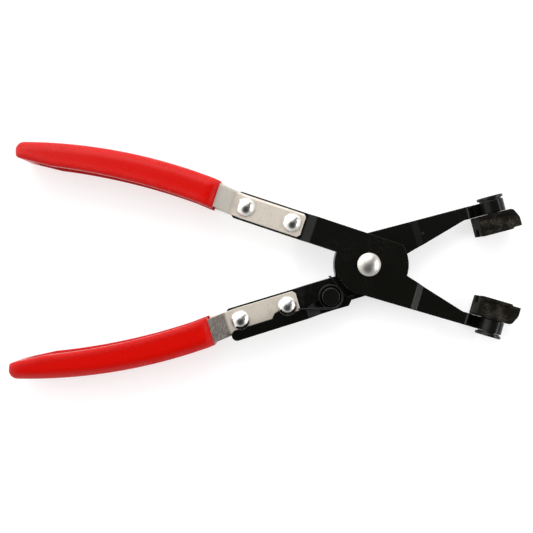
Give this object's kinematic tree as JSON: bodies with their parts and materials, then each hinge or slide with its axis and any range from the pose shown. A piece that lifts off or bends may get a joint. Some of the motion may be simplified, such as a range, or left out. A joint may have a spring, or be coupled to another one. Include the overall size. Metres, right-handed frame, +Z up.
{
  "type": "hose clamp pliers",
  "caption": "Long hose clamp pliers with swivelling slotted jaws on rolled eyes, a ratchet lock lever at the pivot and bowed dipped grips.",
  "frame": {"origin": "centre of the bounding box's bottom face, with the tool lying flat on its back", "axes": "+X along the tool towards the jaws, +Y towards the upper handle and jaw, +Z up out of the front face along the main pivot"},
  "size_m": [0.2232, 0.1034, 0.017],
  "materials": {
    "black_plate": "black oxide steel, satin",
    "black_jaw": "black oxide steel, matt",
    "black_lever": "black oxide steel, satin",
    "black_stud": "black oxide steel, smooth",
    "rivet_steel": "bright steel domes",
    "spring_steel": "blackened spring wire",
    "washer_steel": "blackened steel",
    "silver_handle": "satin nickel plate with a warm tone",
    "red_grip": "smooth glossy dipped vinyl"
  },
  "bodies": {
    "rear_arm": {"rear_arm_plate": "black_plate", "lower_handle_channel": "silver_handle", "lower_grip": "red_grip", "lower_front_rivet": "rivet_steel", "lower_rear_rivet": "rivet_steel", "pivot_rivet": "rivet_steel", "lever_stud": "black_stud", "lever_spring": "spring_steel"},
    "front_arm": {"front_arm_plate": "black_plate", "upper_handle_channel": "silver_handle", "upper_grip": "red_grip", "upper_front_rivet": "rivet_steel", "upper_rear_rivet": "rivet_steel"},
    "lever": {"lock_lever": "black_lever"},
    "upper_jaw": {"upper_jaw_block": "black_jaw", "upper_jaw_pin": "black_stud", "upper_jaw_washer": "washer_steel"},
    "lower_jaw": {"lower_jaw_block": "black_jaw", "lower_jaw_pin": "black_stud", "lower_jaw_washer": "washer_steel"}
  },
  "joints": [
    {"name": "main_pivot", "type": "hinge", "parent": "rear_arm", "child": "front_arm", "pos_m": [0.04509, 0.00026, 0.0085], "axis": [0, 0, 1], "range_deg": [-5.6, 28]},
    {"name": "lever_hinge", "type": "hinge", "parent": "rear_arm", "child": "lever", "pos_m": [0.02831, -0.01398, 0.0085], "axis": [0, 0, 1], "range_deg": [0, 6], "stiffness_Nm_per_rad": 0.05, "springref_deg": -5.73, "deforming": ["lever_spring"]},
    {"name": "upper_jaw_swivel", "type": "hinge", "parent": "rear_arm", "child": "upper_jaw", "pos_m": [0.10281, 0.01626, 0.0085], "axis": [-0.2672, 0.9636, 0], "continuous": true},
    {"name": "lower_jaw_swivel", "type": "hinge", "parent": "front_arm", "child": "lower_jaw", "pos_m": [0.10281, -0.01575, 0.0085], "axis": [-0.2672, -0.9636, 0], "continuous": true}
  ]
}
